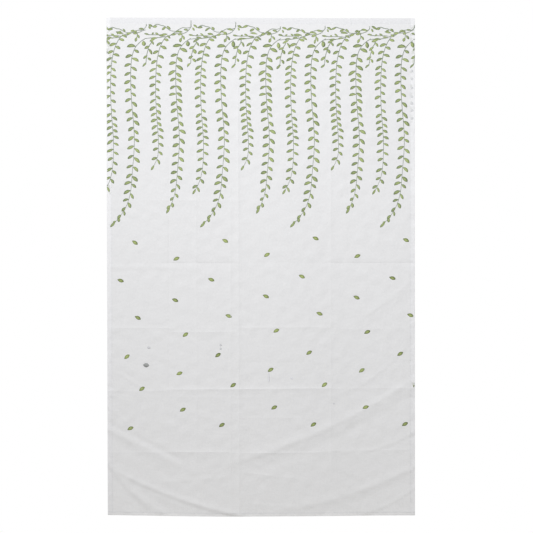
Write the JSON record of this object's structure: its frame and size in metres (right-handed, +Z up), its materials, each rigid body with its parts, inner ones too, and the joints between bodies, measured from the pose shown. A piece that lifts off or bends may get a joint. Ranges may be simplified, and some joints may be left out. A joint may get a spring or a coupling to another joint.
{
  "type": "voile curtain",
  "caption": "Sheer white voile curtain panel that hangs flat from its top edge, with narrow stitched hems and a printed border of hanging willow strands.",
  "frame": {"origin": "middle of the panel's top edge, on the front face of the cloth", "axes": "+Z up along the drop, +X to the right seen from the front, the printed front faces -Y"},
  "size_m": [1.3201, 0.0228, 2.1336],
  "materials": {
    "voile": "sheer white plain weave, matt",
    "leaf_print": "willow green print on voile, matt",
    "stem_print": "grey green print on voile, matt",
    "thread": "white sewing thread, slight sheen"
  },
  "bodies": {
    "root": {"voile_panel": "voile"}
  },
  "joints": []
}
